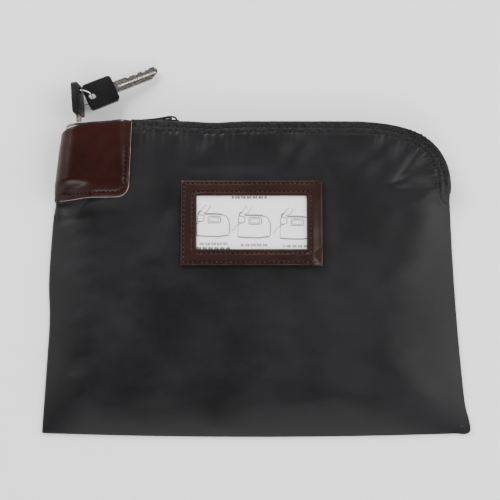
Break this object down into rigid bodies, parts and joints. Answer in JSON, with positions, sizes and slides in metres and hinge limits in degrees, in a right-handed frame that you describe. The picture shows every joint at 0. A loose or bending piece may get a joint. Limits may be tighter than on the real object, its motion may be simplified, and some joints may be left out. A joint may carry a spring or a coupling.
{
  "type": "locking cash deposit bag",
  "caption": "Flat locking deposit bag of black nylon with a corner-round zipper, a leatherette-covered pop-up lock, keys on a ring and a framed card window.",
  "frame": {"origin": "on the underside of the back panel, midway between the side seams and between the bottom seam and the zipper, with the bag lying on its back", "axes": "+X along the zipper away from the lock, +Y from the bottom seam to the zipper, +Z out of the front panel"},
  "size_m": [0.2822, 0.2544, 0.0232],
  "materials": {
    "nylon_cloth": "black coated nylon with a soft sheen",
    "seam_tape": "woven binding tape",
    "zipper_tape": "woven zipper tape",
    "zipper_coil": "nylon coil",
    "zipper_metal": "black enamel",
    "slider_black": "black enamel, worn at the edges",
    "brown_leatherette": "glossy grained leatherette",
    "clear_film": "clear vinyl film",
    "card_paper": "printed white card",
    "lock_metal": "zinc plated",
    "screw_steel": "bright steel",
    "spring_steel": "drawn wire",
    "cap_nickel": "polished nickel plate",
    "plug_brass": "machined, nickel washed",
    "wafer_brass": "stamped",
    "key_nickel": "nickel plated brass",
    "bow_plastic": "moulded black plastic",
    "ring_steel": "bright nickel plate"
  },
  "bodies": {
    "root": {"front_panel": "nylon_cloth", "back_panel": "nylon_cloth", "seam_binding": "seam_tape", "zip_tape_front": "zipper_tape", "zip_tape_back": "zipper_tape", "zip_coil_front": "zipper_coil", "zip_coil_back": "zipper_coil", "zip_top_stops": "zipper_metal", "zip_bottom_stop": "zipper_coil", "lock_cover": "brown_leatherette", "window_frame": "brown_leatherette", "window_film": "clear_film", "lock_housing": "lock_metal", "housing_base": "lock_metal", "base_screws": "screw_steel", "slot_deck": "lock_metal", "travel_pin": "screw_steel", "spring_post": "lock_metal", "popup_spring": "spring_steel"},
    "slider": {"slider_body": "slider_black"},
    "pull": {"zip_pull": "slider_black"},
    "card": {"insert_card": "card_paper"},
    "cap": {"lock_cap": "cap_nickel", "barrel_shell": "cap_nickel", "locking_pin": "screw_steel"},
    "plug": {"cylinder_plug": "plug_brass", "wafer_tumblers": "wafer_brass", "wafer_springs": "spring_steel", "plug_cam": "screw_steel", "cam_screw": "screw_steel"},
    "key": {"key_blade": "key_nickel", "key_bow": "bow_plastic"},
    "ring": {"key_ring": "ring_steel"},
    "spare": {"spare_blade": "key_nickel", "spare_bow": "bow_plastic"}
  },
  "joints": [
    {"name": "zip_slide", "type": "slide", "parent": "root", "child": "slider", "axis": [1, 0, 0], "range_m": [0, 0.125]},
    {"name": "zip_pull_swing", "type": "hinge", "parent": "slider", "child": "pull", "pos_m": [-0.0582, 0.11075, 0.007], "axis": [0, 0, 1], "range_deg": [-190, 0]},
    {"name": "card_slide", "type": "slide", "parent": "root", "child": "card", "axis": [1, 0, 0], "range_m": [0, 0.09]},
    {"name": "cap_pop", "type": "slide", "parent": "root", "child": "cap", "axis": [-0.0785, 0.9969, 0], "range_m": [0, 0.007]},
    {"name": "plug_turn", "type": "hinge", "parent": "cap", "child": "plug", "pos_m": [-0.11976, 0.1026, 0.0116], "axis": [-0.0785, 0.9969, 0], "range_deg": [-80, 0]},
    {"name": "key_withdraw", "type": "slide", "parent": "plug", "child": "key", "axis": [-0.0785, 0.9969, 0], "range_m": [0, 0.03]},
    {"name": "ring_swing", "type": "hinge", "parent": "key", "child": "ring", "pos_m": [-0.12207, 0.12839, 0.01318], "axis": [0.9818, 0.0773, 0.1736], "range_deg": [0, 140]},
    {"name": "spare_key_swing", "type": "hinge", "parent": "ring", "child": "spare", "pos_m": [-0.11179, 0.12587, 0.0086], "axis": [-0.1897, 0.456, 0.8695], "range_deg": [-30, 0]}
  ]
}
